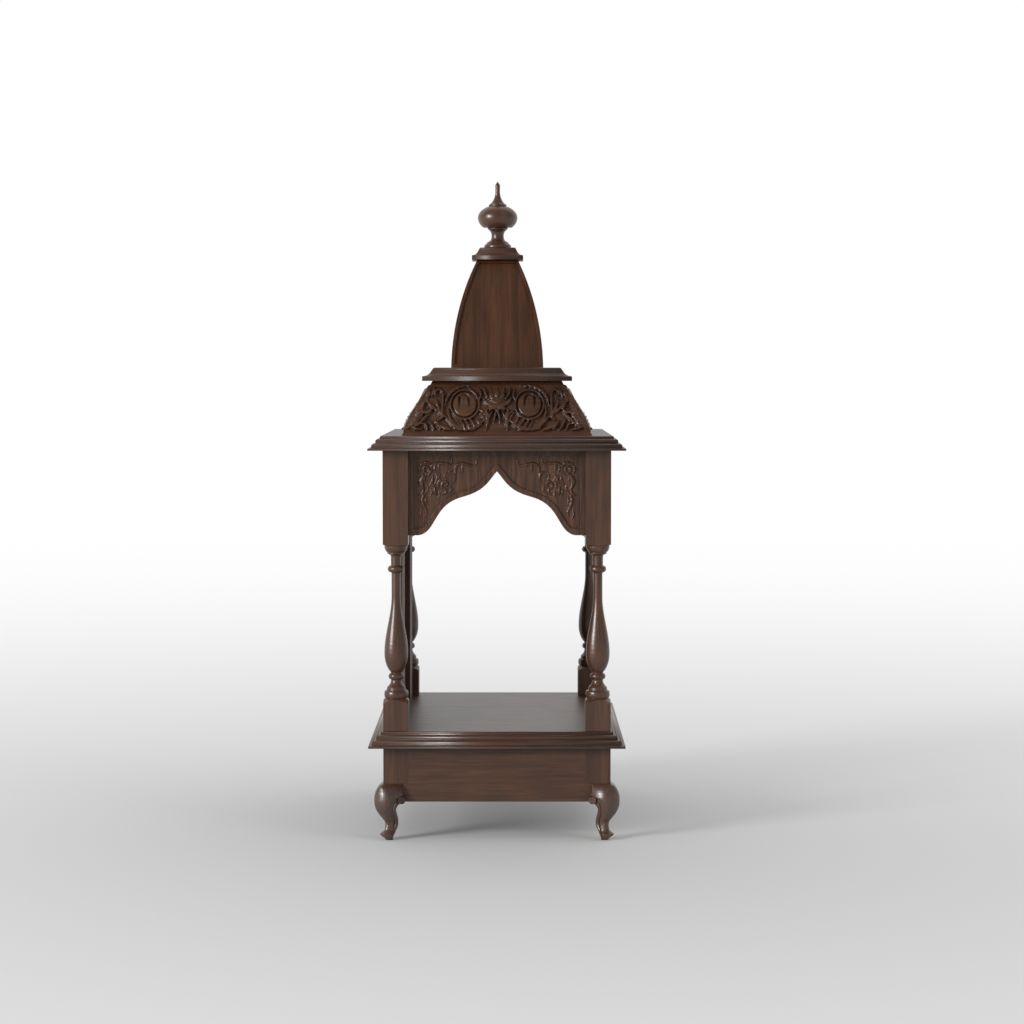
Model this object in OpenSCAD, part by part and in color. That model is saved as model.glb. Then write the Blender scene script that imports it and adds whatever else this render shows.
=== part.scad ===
// Home temple: four turned columns on a cabriole-legged base, ogee arches,
// a sloping roof skirt and a curved four-sided tower with a turned finial.
// Millimetres, +Z up, origin on the floor under the centre of the temple.

/* [Plan] */
// Width over the posts, left to right
width = 405; // [380:1:430]
// Depth over the posts, front to back
depth = 557; // [500:1:600]
// Side of the square posts
post = 45; // [40:1:50]

/* [Heights] */
// Height of the cabriole legs
leg_h = 102; // [90:1:115]
// Height of the top of the base box
base_h = 168.5; // [155:0.5:185]
// Thickness of the floor board
floor_t = 27.5; // [24:0.5:30]
// Height of the columns between the floor board and the lower cornice
column_h = 500.5; // [480:0.5:540]
// Thickness of the lower cornice
cornice_t = 25.5; // [22:0.5:28]
// Height of the sloping roof skirt
skirt_h = 97; // [85:1:115]
// Thickness of the upper cornice
upper_t = 24; // [20:1:26]
// Height of the curved tower
tower_h = 200; // [170:1:230]
// Thickness of the cap on the tower
cap_t = 23; // [20:1:26]

/* [Base] */
// How far the knees of the legs swell out past the posts
knee_out = 16.5; // [8:0.5:20]
// How far the aprons reach down past the tops of the legs
apron_drop = 32; // [22:1:36]
// Thickness of the apron boards
apron_t = 15; // [12:1:18]

/* [Arches] */
// Thickness of the arch boards
arch_t = 18; // [14:1:20]
// How far the arch boards stand back from the post faces
arch_setback = 14.5; // [8:0.5:18]
// Height of the arch boards
arch_h = 151.5; // [148:0.5:160]
// Rise of the arch from its feet to its point
arch_rise = 113.5; // [100:0.5:118]
// Width of the raised rim round an arch board
rim_w = 9; // [6:0.5:11]
// Depth of the sunk field inside the rim
rim_d = 3; // [1:0.5:5]

/* [Back wall] */
// Width of each upright board of the back wall
stile_w = 115; // [80:1:140]
// Thickness of the thin panel between the upright boards
panel_t = 4; // [3:0.5:6]
// How far the panel stands back from the inside face of the upright boards
panel_setback = 12; // [6:0.5:13]

/* [Roof] */
// How far the lower cornice and the floor board stand out past the posts
lip = 25.5; // [20:0.5:32]
// How far the foot of the roof skirt stands back inside the post faces
skirt_inset = 32.5; // [26:0.5:42]
// How far each side of the roof skirt leans in over its height
skirt_lean = 53.5; // [42:0.5:60]
// Thickness of the roof skirt boards, measured level
skirt_t = 16; // [12:1:20]
// How far the upper cornice stands out past the top of the skirt
upper_lip = 18; // [12:1:22]
// How far the tower stands back from the top edge of the upper cornice
tower_inset = 28; // [20:1:35]
// Half width of the top of the tower
tower_top = 37.5; // [34:0.5:42]
// How far the narrow tower faces swell out past a straight line at mid height
tower_swell = 11; // [6:0.5:14]
// Thickness of the tower walls, measured level
tower_t = 12; // [9:1:14]
// Width of the raised rim round the sunk field on each tower face
tower_rim = 6; // [4:0.5:10]
// Depth of the sunk field on each tower face
tower_field_d = 4; // [1:0.5:5]
// How far the cap stands out past the top of the tower
cap_lip = 10; // [6:1:12]
// Height of the turned finial
finial_h = 124; // [105:1:140]

/* [Hidden] */

half_w = width / 2;
half_d = depth / 2;
// Half plan sizes as [x, y]
posts = [half_w, half_d];
floor_z = base_h + floor_t;
cornice_z = floor_z + column_h;
skirt_z = cornice_z + cornice_t;
upper_z = skirt_z + skirt_h;
tower_z = upper_z + upper_t;
cap_z = tower_z + tower_h;
finial_z = cap_z + cap_t;
skirt_foot = posts - [skirt_inset, skirt_inset];
skirt_head = skirt_foot - [skirt_lean, skirt_lean];
upper_edge = skirt_head + [upper_lip, upper_lip];
// The moulded edges of the upper cornice and the cap take up this much on each side
upper_mould = 23;
cap_mould = 17;
tower_foot = upper_edge - [upper_mould + tower_inset, upper_mould + tower_inset];
tower_head = [tower_top, tower_top];
cap_edge = tower_head + [cap_lip, cap_lip];
big = 2 * depth;
wood = [0.34, 0.22, 0.16];
arc_steps = 8;
// The curved lines further down are drawn for these sizes, and scaled to suit others
drawn_post = 45;
drawn_leg_h = 102;
drawn_knee = 16.5;
drawn_board_t = 25.5;
drawn_column_h = 500.5;
drawn_half_arch = 157;
drawn_rise = 113.5;
drawn_finial_h = 124;
// How much further out the foot of a narrow tower face stands than its top, as drawn
drawn_flare = 46;

// Points of a cubic curve through its four control points, without the first end
function curve(p, n = arc_steps) = [for (i = [1:n])
    let (t = i / n, s = 1 - t)
    s * s * s * p[0] + 3 * s * s * t * p[1] + 3 * s * t * t * p[2] + t * t * t * p[3]];

// Points of an arc of an ellipse, centre c, half sizes r, from angle a to b
function arc(c, r, a, b, n = arc_steps) = [for (i = [0:n])
    let (t = a + (b - a) * i / n) c + [r[0] * cos(t), r[1] * sin(t)]];

// Turned bead between heights z0 and z1, from radius r0 out to r1
function bead(z0, z1, r0, r1) = arc([r0, (z0 + z1) / 2], [r1 - r0, (z1 - z0) / 2], -90, 90, 10);

// Outline turned over onto the other side of the middle line
function mirrored(p) = concat(p, [for (i = [len(p) - 1:-1:0]) [-p[i][0], p[i][1]]]);

// Copies of a rear-right piece at the other corners
module at_corner(x, y) translate([x * half_w, y * half_d, 0])
    mirror([x < 0 ? 1 : 0, 0, 0]) mirror([0, y < 0 ? 1 : 0, 0]) children();

// Upright section, drawn in x and z, carried through the depth and the width
module through_depth(reach = big) rotate([90, 0, 0]) linear_extrude(reach, center = true) children();
module through_width(reach = big) rotate([90, 0, 90]) linear_extrude(reach, center = true) children();

// Rectangular solid whose front and sides follow two sections of equal height
module four_sided(section_x, section_y) intersection() {
    through_depth() polygon(section_x);
    through_width() polygon(section_y);
}

// ---------- Base ----------

// Each line of a leg gives the distance in from the post face, and the height
leg_scale = [post / drawn_post, leg_h / drawn_leg_h];
knee_scale = knee_out / drawn_knee;
knee_line = concat(
    [[0, 102]],
    curve([[0, 102], [-9, 100], [-16.5, 88], [-16.5, 75]]),
    curve([[-16.5, 75], [-17.5, 54], [-7, 47], [2.2, 32]]),
    curve([[2.2, 32], [3.6, 28], [2.4, 24], [1.7, 19]], 5),
    curve([[1.7, 19], [1.2, 15.5], [-3.5, 14.5], [-6.5, 12]], 4),
    [[-5.5, 9.5], [2, 3.5], [3.8, 0]]);
groove_line = concat(
    [[34, 102], [34, 84]],
    curve([[34, 84], [34, 76], [23, 80], [20, 70]]),
    curve([[20, 70], [16, 60], [15, 52], [18, 41]]),
    curve([[18, 41], [20.5, 33], [19.5, 25], [17, 19]], 5),
    [[14, 4], [13.5, 0]]);
ribbon_line = concat(
    [[34, 102], [34, 72]],
    curve([[34, 72], [30, 67], [22.5, 64], [22.5, 55]]),
    curve([[22.5, 55], [22.5, 46], [26.5, 40], [26.5, 31]]),
    curve([[26.5, 31], [26.5, 22], [19, 14], [17, 4]]),
    [[16.5, 0]]);
// How square the leg is at a height, on its outer half and on its inner half: 2 is round,
// and more is squarer
square_line = [[0, 3.5], [16, 3], [34, 2.4], [76, 2.5], [92, 4], [102, 14]];
inner_square_line = [[0, 3.5], [16, 3], [34, 2.4], [67, 2.5], [78, 6], [102, 14]];
// How much of the ribbon shows at a height: none on the ear over the volute
ribbon_share = [[68, 1], [80, 0]];
leg_rings = [0, 3.5, 6.5, 9.5, 12, 13, 14, 15, 16.5, 19, 23, 28, 33, 38, 43, 48, 53, 58, 63, 67, 70, 73, 76,
    78, 80, 82, 84, 88, 92, 96, 99, 101, 102];
volute = [33, 74];
volute_r = 6.3;
volute_front = 7;
leg_ear = 34 * leg_scale[0];

function line_at(line, z) = lookup(z, [for (i = [len(line) - 1:-1:0]) [line[i][1], line[i][0]]]);

// Point of a rounded square round [c, c]
function rounded(c, half, n, t) = [for (w = [cos(t), sin(t)]) c + half * sign(w) * pow(abs(w), 2 / n)];

// Half of a leg's section: the rounded body from the outer corner to the groove, and the
// ribbon from there to the inner corner
function half_section(z) = let (
    line = line_at(knee_line, z),
    out = -min(line, line * knee_scale),
    n = lookup(z, square_line),
    m = lookup(z, inner_square_line),
    share = lookup(z, ribbon_share),
    half = (out + line_at(groove_line, z)) / (2 - share * (1 - pow(0.5, 1 / m))),
    c = half - out,
    groove = rounded(c, half, m, 315),
    edge = line_at(ribbon_line, z),
    w = edge - groove[0],
    ribbon = [groove + [0.1 * w, 1.4], groove + [0.3 * w, -0.4], groove + [0.62 * w, -0.6],
        groove + [0.9 * w, 0.8], [edge, groove[1] + 3], [edge - 1, edge - 1]],
    turns = [322, 332, 345, 360, 380, 405]) concat(
    [for (t = [225, 234, 245, 257, 270]) rounded(c, half, n, t)],
    [for (t = [283, 295, 306, 315]) rounded(c, half, m, t)],
    [for (i = [0:5]) (1 - share) * rounded(c, half, m, turns[i]) + share * ribbon[i]]);

function leg_section(z) = let (h = half_section(z)) [
    for (p = concat(h, [for (i = [len(h) - 2:-1:1]) [h[i][1], h[i][0]]]))
        [-p[0] * leg_scale[0], -p[1] * leg_scale[0], z * leg_scale[1]]];

// Solid through rings of equally many points, bottom first
module loft(rings) {
    n = len(rings[0]);
    last = len(rings) - 1;
    polyhedron(
        [for (ring = rings) each ring],
        concat(
            [[for (i = [0:n - 1]) i]],
            [for (r = [0:last - 1], i = [0:n - 1], half = [0, 1])
                let (a = r * n + i, b = r * n + (i + 1) % n)
                half == 0 ? [a, b + n, b] : [a, a + n, b + n]],
            [[for (i = [n - 1:-1:0]) last * n + i]]));
}

// Round scroll at the foot of the ear, with a ring sunk in its face, cut clear of the apron
// behind it
module volute() difference() {
    translate([-volute[0] * leg_scale[0], 0, volute[1] * leg_scale[1]]) rotate([90, 0, 0]) difference() {
        translate([0, 0, -apron_t]) cylinder(h = apron_t + volute_front, r = volute_r, $fn = 48);
        translate([0, 0, volute_front - 1.5]) difference() {
            cylinder(h = 2, r = 0.7 * volute_r, $fn = 48);
            cylinder(h = 4, r = 0.4 * volute_r, center = true, $fn = 48);
        }
    }
    translate([-2 * post, -2 * apron_t, leg_h - apron_drop]) cube([2 * post - leg_ear, 2 * apron_t, post]);
}

module leg() color(wood) union() {
    loft([for (z = leg_rings) leg_section(z)]);
    volute();
    mirror([1, -1, 0]) volute();
}

module corner_post() color(wood) translate([-post, -post, leg_h]) cube([post, post, base_h - leg_h]);

// Apron board with its outer face on the line y = 0, between two corner posts, with a
// lower strip that runs under the posts to the ears of the legs
module apron(span) color(wood) translate([0, apron_t / 2, 0]) through_depth(apron_t)
    polygon(mirrored([[span / 2 + post - leg_ear, leg_h - apron_drop], [span / 2 + post - leg_ear, leg_h],
        [span / 2, leg_h], [span / 2, base_h]]));

// ---------- Moulded boards ----------

// Half section of the floor board and the lower cornice: thin lip, hollow and three rounds
function board_edge(h, t) = [for (p = concat(
    [[0, 0], [0, 3.5], [1.2, 3.9]],
    curve([[1.2, 3.9], [4, 4.1], [6.2, 4.4], [6.5, 6.2]], 4),
    arc([11.5, 7.8], [-5.1, 4.6], 0, 90),
    [[13, 12.4]],
    arc([18.6, 15.8], [-5.3, 4.7], -30, 90),
    [[20.8, 20.5]],
    arc([23.4, 23], [-2.6, 2.5], -30, 90, 5))) [h - p[0], p[1] * t / drawn_board_t]];

// Half section of the upper cornice and the cap: square lip, hollow, step and small round
function cove_edge(h, t, w) = [for (p = concat(
    [[0, 0], [0, 0.34], [0.1, 0.36]],
    curve([[0.1, 0.36], [0.4, 0.4], [0.58, 0.52], [0.71, 0.78]]),
    [[0.78, 0.85]],
    arc([1, 0.85], [-0.22, 0.15], 0, 90, 5))) [h - p[0] * w, p[1] * t]];

module floor_board() color(wood) translate([0, 0, base_h])
    four_sided(mirrored(board_edge(half_w + lip, floor_t)), mirrored(board_edge(half_d + lip, floor_t)));

module lower_cornice() color(wood) translate([0, 0, cornice_z])
    four_sided(mirrored(board_edge(half_w + lip, cornice_t)), mirrored(board_edge(half_d + lip, cornice_t)));

module upper_cornice() color(wood) translate([0, 0, upper_z]) four_sided(
    mirrored(cove_edge(upper_edge[0], upper_t, upper_mould)),
    mirrored(cove_edge(upper_edge[1], upper_t, upper_mould)));

module tower_cap() color(wood) translate([0, 0, cap_z]) four_sided(
    mirrored(cove_edge(cap_edge[0], cap_t, cap_mould)),
    mirrored(cove_edge(cap_edge[1], cap_t, cap_mould)));

// ---------- Columns ----------

// Lathe line of a column, as radius and height above the floor board. The square blocks at
// its ends stay uncut and keep their height, and the turning between them is stretched to fit
turned_foot = 57;
turned_head = 331;
uncut_r = 36;
column_foot = concat(
    [[0, 0], [uncut_r, 0], [uncut_r, 46.5], [20.5, 57]],
    bead(58, 71, 19.4, 21.6),
    [[17, 71.4], [16.6, 76.6]],
    curve([[16.6, 76.6], [14.5, 79.5], [10, 82], [9.4, 89]]),
    bead(91, 102, 9.6, 13.9),
    [[9.8, 103.8]],
    curve([[9.8, 103.8], [14, 108], [21.2, 119], [21.2, 138]]),
    curve([[21.2, 138], [21.2, 172], [8.8, 204], [8.1, 236]], 12));
column_top = concat(
    [[8.1, 280.5]],
    bead(282.4, 294.8, 9, 14.8),
    [[9.2, 311]],
    curve([[9.2, 311], [9.4, 313.5], [11.5, 314.5], [14.5, 315.5]], 4),
    [[15.6, 316], [15.6, 318.6]],
    curve([[16.2, 318.8], [18.8, 320.5], [20.7, 325], [20.7, 330]], 6),
    [[20.9, 331], [uncut_r, 334.5], [uncut_r, drawn_column_h], [0, drawn_column_h]]);
function column_height(drawn) = let (longer = column_h - drawn_column_h, turned = turned_head - turned_foot)
    drawn <= turned_foot ? drawn
    : drawn >= turned_head ? drawn + longer
    : turned_foot + (drawn - turned_foot) * (turned + longer) / turned;
function column_line() = [
    for (p = concat(column_foot, column_top)) [p[0] * post / drawn_post, column_height(p[1])]];

module column() color(wood) intersection() {
    translate([-post, -post, floor_z]) cube([post, post, column_h]);
    translate([-post / 2, -post / 2, floor_z]) rotate_extrude($fn = 64) polygon(column_line());
}

// ---------- Arches ----------

arch_z = cornice_z - arch_h;
arch_foot = 17;
front_span = width - 2 * post;
side_span = depth - 2 * post;
// Half of an arch, from its foot up to its point: distance from the middle, height
arch_line = concat(
    [[140, 0]],
    curve([[140, 0], [130, 0.5], [121, 8], [114, 20]]),
    curve([[114, 20], [101, 41.5], [93, 60], [58.5, 69]], 12),
    curve([[58.5, 69], [18, 80], [12.5, 101], [0, drawn_rise]], 10));
function arch_side(span) = [for (p = arch_line)
    [p[0] * span / 2 / drawn_half_arch, p[1] * arch_rise / drawn_rise]];

// Unit normal of an open line at point i, towards the carved field
function line_normal(p, i) = let (
    a = p[max(i - 1, 0)],
    b = p[min(i + 1, len(p) - 1)],
    d = (b - a) / norm(b - a)) [d[1], -d[0]];
// The arch line moved out by the width of the rim, ending on the middle line
function rim_line(span) = let (p = arch_side(span), last = len(p) - 1, n = line_normal(p, last)) concat(
    [for (i = [4:last - 1]) p[i] + rim_w * line_normal(p, i)],
    [[0, p[last][1] + rim_w / n[1]]]);

// Sunk field between the rim of the arch and the rims at the sides and top
function field_line(span) = let (edge = span / 2 - rim_w, top = arch_h - rim_w) concat(
    [[edge, top], [edge, 1.2 * rim_w]],
    [for (p = rim_line(span)) if (p[0] < edge) p]);

// Arch board with its outer face on the line y = 0
module arch(span) color(wood) translate([0, 0, arch_z]) difference() {
    translate([0, arch_t / 2, 0]) through_depth(arch_t)
        polygon(mirrored(concat([[span / 2, arch_h], [span / 2, 0]], arch_side(span))));
    through_depth(2 * rim_d) polygon(mirrored(field_line(span)));
}

// ---------- Back wall, on the left ----------

// Faces of the back wall, in from the outside of the left posts
wall_face = arch_setback + arch_t;
module back_wall_board() color(wood) translate([-wall_face, -post - stile_w, floor_z])
    cube([arch_t, stile_w, arch_z - floor_z]);

// Panel between the boards and up into the arch, in the thickness of the wall
function panel_line() = let (edge = side_span / 2 - stile_w, up = arch_z - floor_z) concat(
    [[edge, 0], [edge, up]],
    [for (p = arch_side(side_span)) p + [0, up]]);

module back_wall_panel() color(wood)
    translate([wall_face - half_w - panel_setback - panel_t / 2, 0, floor_z])
    through_width(panel_t) polygon(mirrored(panel_line()));

// ---------- Roof skirt and tower ----------

// The corners of a hollow roof run, in plan, from foot to head, and its four sides meet
// there in upright mitres. meet(foot, head) is where two mitres run together, or run out
// on the middle line
function meet(foot, head) = let (run = foot - head)
    [max(0, head[0] - head[1] * run[0] / run[1]), max(0, head[1] - head[0] * run[1] / run[0])];

// Plan of the rear side, between its two mitres
function rear_wedge(foot, head) = let (m = meet(foot, head), far = 3 * foot - 2 * head) concat(
    [far, m],
    m[0] > 0 ? [[-m[0], m[1]]] : [],
    [[-far[0], far[1]]]);

// Plan of the right side, between its two mitres
function right_wedge(foot, head) = [
    for (p = rear_wedge([foot[1], foot[0]], [head[1], head[0]])) [p[1], p[0]]];

module wedge(outline) translate([0, 0, -1]) linear_extrude(big) polygon(outline);

// Half sections of the skirt, h from the middle at the foot
function skirt_line(h) = [[h, 0], [h - skirt_lean, skirt_h]];

module hollow_skirt() translate([0, 0, skirt_z]) difference() {
    four_sided(mirrored(skirt_line(skirt_foot[0])), mirrored(skirt_line(skirt_foot[1])));
    four_sided(mirrored(skirt_line(skirt_foot[0] - skirt_t)), mirrored(skirt_line(skirt_foot[1] - skirt_t)));
}

module rear_skirt_side() color(wood) intersection() {
    hollow_skirt();
    wedge(rear_wedge(skirt_foot, skirt_head));
}

module right_skirt_side() color(wood) intersection() {
    hollow_skirt();
    wedge(right_wedge(skirt_foot, skirt_head));
}

// Arc through three points, as its centre and radius
function arc_through(a, b, c) = let (
    sides = [b - c, c - a, a - b],
    squares = [a * a, b * b, c * c],
    d = 2 * (a[0] * sides[0][1] + b[0] * sides[1][1] + c[0] * sides[2][1]),
    x = (squares[0] * sides[0][1] + squares[1] * sides[1][1] + squares[2] * sides[2][1]) / d,
    y = -(squares[0] * sides[0][0] + squares[1] * sides[1][0] + squares[2] * sides[2][0]) / d)
    [x, y, norm(a - [x, y])];

// Arc of a tower face that is foot wide from the middle; a wider face swells in proportion
function tower_arc(foot) = let (swell = tower_swell * (foot - tower_top) / drawn_flare)
    arc_through([foot, 0], [(foot + tower_top) / 2 + swell, tower_h / 2], [tower_top, tower_h]);

// Section of the tower between its two arcs, moved in by an inset and cut off a rim from the ends
module tower_section(foot, inset = 0, rim = 0) {
    a = tower_arc(foot);
    intersection() {
        translate([a[0] - inset, a[1]]) circle(a[2], $fn = 360);
        translate([inset - a[0], a[1]]) circle(a[2], $fn = 360);
        translate([-foot, rim]) square([2 * foot, tower_h - 2 * rim]);
    }
}

// The front and rear boards of the tower run its full width and form its four corners
module rear_tower_board() color(wood) translate([0, 0, tower_z]) difference() {
    intersection() {
        through_depth() tower_section(tower_foot[0]);
        through_width() tower_section(tower_foot[1]);
        translate([-big / 2, 0, 0]) cube(big);
    }
    through_width() tower_section(tower_foot[1], tower_t);
    difference() {
        through_depth() tower_section(tower_foot[0], tower_rim, tower_rim);
        through_width() tower_section(tower_foot[1], tower_field_d);
    }
}

// The side boards stand between them, with their fields set back from the corners
module right_tower_board() color(wood) translate([0, 0, tower_z]) difference() {
    intersection() {
        through_depth() tower_section(tower_foot[0]);
        through_width() tower_section(tower_foot[1], tower_t);
        translate([0, -big / 2, 0]) cube(big);
    }
    through_depth() tower_section(tower_foot[0], tower_t);
    difference() {
        translate([0, -big / 2, tower_rim]) cube([big, big, tower_h - 2 * tower_rim]);
        through_depth() tower_section(tower_foot[0], tower_field_d);
    }
}

// ---------- Finial ----------

finial_line = concat(
    [[0, 0], [24.6, 0], [25.2, 1.5], [25.2, 4]],
    curve([[25.2, 4], [24.6, 6.5], [22.5, 7], [21.2, 8.6]], 4),
    [[20.4, 9.4]],
    curve([[20.4, 9.4], [20.2, 11], [17.8, 12], [15.4, 13.4]], 4),
    curve([[15.4, 13.4], [12.2, 15], [11.4, 18], [11.4, 23.5]], 6),
    curve([[11.4, 23.5], [11.4, 28.5], [13.5, 31.5], [16.8, 34]], 6),
    [[17.6, 34.6]],
    arc([17.2, 36.5], [1.7, 1.9], -70, 80, 5),
    arc([0, 56.6], [37, 26.5], -43, 0, 12),
    arc([0, 56.6], [37, 23.8], 5, 58, 12),
    bead(76.6, 81.4, 15.5, 16.8),
    curve([[14.4, 81.6], [10.5, 85.5], [5.2, 91.5], [4.3, 103]]),
    [[4.5, 117.5], [0, drawn_finial_h]]);

module finial() color(wood) translate([0, 0, finial_z]) rotate_extrude($fn = 64)
    polygon([for (p = finial_line) [p[0], p[1] * finial_h / drawn_finial_h]]);

// ---------- Pieces ----------

module front_left_leg() at_corner(-1, -1) leg();
module front_right_leg() at_corner(1, -1) leg();
module rear_left_leg() at_corner(-1, 1) leg();
module rear_right_leg() at_corner(1, 1) leg();
module front_left_corner_post() at_corner(-1, -1) corner_post();
module front_right_corner_post() at_corner(1, -1) corner_post();
module rear_left_corner_post() at_corner(-1, 1) corner_post();
module rear_right_corner_post() at_corner(1, 1) corner_post();
module front_apron() translate([0, -half_d, 0]) apron(front_span);
module rear_apron() translate([0, half_d, 0]) mirror([0, 1, 0]) apron(front_span);
module left_apron() translate([-half_w, 0, 0]) rotate(-90) apron(side_span);
module right_apron() translate([half_w, 0, 0]) rotate(90) apron(side_span);
module front_left_column() at_corner(-1, -1) column();
module front_right_column() at_corner(1, -1) column();
module rear_left_column() at_corner(-1, 1) column();
module rear_right_column() at_corner(1, 1) column();
module front_arch() translate([0, arch_setback - half_d, 0]) arch(front_span);
module rear_arch() translate([0, half_d - arch_setback, 0]) rotate(180) arch(front_span);
module left_arch() translate([arch_setback - half_w, 0, 0]) rotate(-90) arch(side_span);
module right_arch() translate([half_w - arch_setback, 0, 0]) rotate(90) arch(side_span);
module back_wall_front_board() at_corner(-1, -1) back_wall_board();
module back_wall_rear_board() at_corner(-1, 1) back_wall_board();
module front_roof_skirt() mirror([0, 1, 0]) rear_skirt_side();
module rear_roof_skirt() rear_skirt_side();
module left_roof_skirt() mirror([1, 0, 0]) right_skirt_side();
module right_roof_skirt() right_skirt_side();
module front_tower_side() mirror([0, 1, 0]) rear_tower_board();
module rear_tower_side() rear_tower_board();
module left_tower_side() mirror([1, 0, 0]) right_tower_board();
module right_tower_side() right_tower_board();

front_left_leg();
front_right_leg();
rear_left_leg();
rear_right_leg();
front_left_corner_post();
front_right_corner_post();
rear_left_corner_post();
rear_right_corner_post();
front_apron();
rear_apron();
left_apron();
right_apron();
floor_board();
front_left_column();
front_right_column();
rear_left_column();
rear_right_column();
front_arch();
rear_arch();
left_arch();
right_arch();
back_wall_front_board();
back_wall_rear_board();
back_wall_panel();
lower_cornice();
front_roof_skirt();
rear_roof_skirt();
left_roof_skirt();
right_roof_skirt();
upper_cornice();
front_tower_side();
rear_tower_side();
left_tower_side();
right_tower_side();
tower_cap();
finial();
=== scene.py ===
import math

import bpy
import numpy as np
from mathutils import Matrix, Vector


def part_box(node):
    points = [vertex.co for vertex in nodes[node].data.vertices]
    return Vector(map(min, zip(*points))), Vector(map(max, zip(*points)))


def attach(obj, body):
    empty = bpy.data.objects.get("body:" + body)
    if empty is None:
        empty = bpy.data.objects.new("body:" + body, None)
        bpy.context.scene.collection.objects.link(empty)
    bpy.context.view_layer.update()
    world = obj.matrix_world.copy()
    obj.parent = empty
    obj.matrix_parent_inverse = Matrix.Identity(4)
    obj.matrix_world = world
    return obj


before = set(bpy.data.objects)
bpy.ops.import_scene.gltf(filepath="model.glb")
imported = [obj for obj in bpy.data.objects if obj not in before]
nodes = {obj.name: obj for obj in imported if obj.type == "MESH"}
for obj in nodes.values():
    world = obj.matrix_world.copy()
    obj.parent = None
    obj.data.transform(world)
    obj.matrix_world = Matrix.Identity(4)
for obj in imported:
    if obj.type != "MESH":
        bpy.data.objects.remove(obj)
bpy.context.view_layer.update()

# ---------------------------------------------------------------- camera
CAMERA_PLACE = (0.0268, -4.8355, 0.8368)
CAMERA_TILT = 3.134                 # degrees down
LENS = 90.53                        # mm
SENSOR = 36.0                       # mm


def make_camera():
    data = bpy.data.cameras.new("camera")
    data.lens = LENS
    data.sensor_width = SENSOR
    camera = bpy.data.objects.new("camera", data)
    camera.location = CAMERA_PLACE
    camera.rotation_euler = (math.radians(90 - CAMERA_TILT), 0, 0)
    bpy.context.scene.collection.objects.link(camera)
    bpy.context.scene.camera = camera


# ---------------------------------------------------------------- shader helpers
def new_material(name):
    material = bpy.data.materials.new(name)
    material.use_nodes = True
    material.node_tree.nodes.clear()
    return material, material.node_tree


def add(tree, kind, links=None, **settings):
    """A shader node. links maps its inputs to sockets or constants, settings are its properties."""
    node = tree.nodes.new(kind)
    for key, value in settings.items():
        setattr(node, key, value)
    for socket, source in (links or {}).items():
        if isinstance(source, bpy.types.NodeSocket):
            tree.links.new(source, node.inputs[socket])
        else:
            node.inputs[socket].default_value = source
    return node


def math_node(tree, operation, first, second=0.0):
    return add(tree, "ShaderNodeMath", {0: first, 1: second}, operation=operation).outputs[0]


def vector_node(tree, operation, first, second=(0.0, 0.0, 0.0)):
    return add(tree, "ShaderNodeVectorMath", {0: first, 1: second}, operation=operation)


def product(tree, *factors):
    result = factors[0]
    for factor in factors[1:]:
        result = math_node(tree, "MULTIPLY", result, factor)
    return result


def span(tree, value, low, high, to_low, to_high):
    """The value stretched from one range to another, and held inside it."""
    return add(tree, "ShaderNodeMapRange", {"Value": value, "From Min": low, "From Max": high,
                                            "To Min": to_low, "To Max": to_high}).outputs[0]


def parts_of(tree, vector):
    return add(tree, "ShaderNodeSeparateXYZ", {0: vector}).outputs


# ---------------------------------------------------------------- wood
# A stain is its dark and its light colour. The towers are stained a little redder.
WALNUT = ((0.044, 0.0194, 0.0098), (0.072, 0.0318, 0.0172))
RED_WALNUT = ((0.0406, 0.0150, 0.0058), (0.0650, 0.0249, 0.0103))
WARMER = (1.15, 0.95, 0.70)         # the warm patches against the light colour of the stain

# Layers of the wood, each a noise: cells a metre along and across the grain, detail,
# roughness, distortion
LAYERS = {
    "figure": (2.5, 40, 3.0, 0.6, 0.4),
    "streak": (6.0, 200, 1.0, 0.5, 0.0),
    "mottle": (14, 80, 2.0, 0.5, 0.0),
    "patch": (16, 42, 2.0, 0.5, 0.0),
    "pore": (20, 340, 3.0, 0.7, 0.0),
    "band": (0.7, 60, 1.0, 0.4, 0.0),
}
# From where to where in its noise each effect comes up
FIGURE_RANGE = (0.34, 0.66)
WARM_RANGE = (0.52, 0.68)
STREAK_RANGE = (0.38, 0.62)
PORE_RANGE = (0.32, 0.60)
BLOTCH_RANGE = (0.34, 0.66)
BAND_RANGE = (0.54, 0.60)
WEAR_RANGE = (0.40, 0.62)
SHEEN_RANGE = (0.3, 0.7)

WARM_SHARE = 0.5                    # of the warm colour in a warm patch
PORE_LIFT = 0.4                     # how light the wood is between its pores, against how dark they are
DULLER = 0.05                       # how much rougher a pore is than the rest
SMOOTHER = 0.03                     # how much smoother the wood is between them
PORE_DEPTH = 0.0003                 # metres
EDGE_RADIUS = 0.0012                # of the worn edges, in metres
EDGE_AGREE = (0.995, 0.80)          # how well the rounded and flat normals agree, beside an edge and on it
EDGE_WEAR = 0.45                    # how much lighter the stain is where an edge is worn most
HOLLOW_SHADE_REACH = 0.007                # how near the walls of a recess must be to paint shade in it, in metres
HOLLOW_SHADE_SKY = (0.38, 0.92)           # how open a deep recess is, and a plain face, for the painted shade
LACQUER_IOR = 1.5
PLAIN_LACQUER = 0.5                 # specular level of a flat surface

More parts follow.
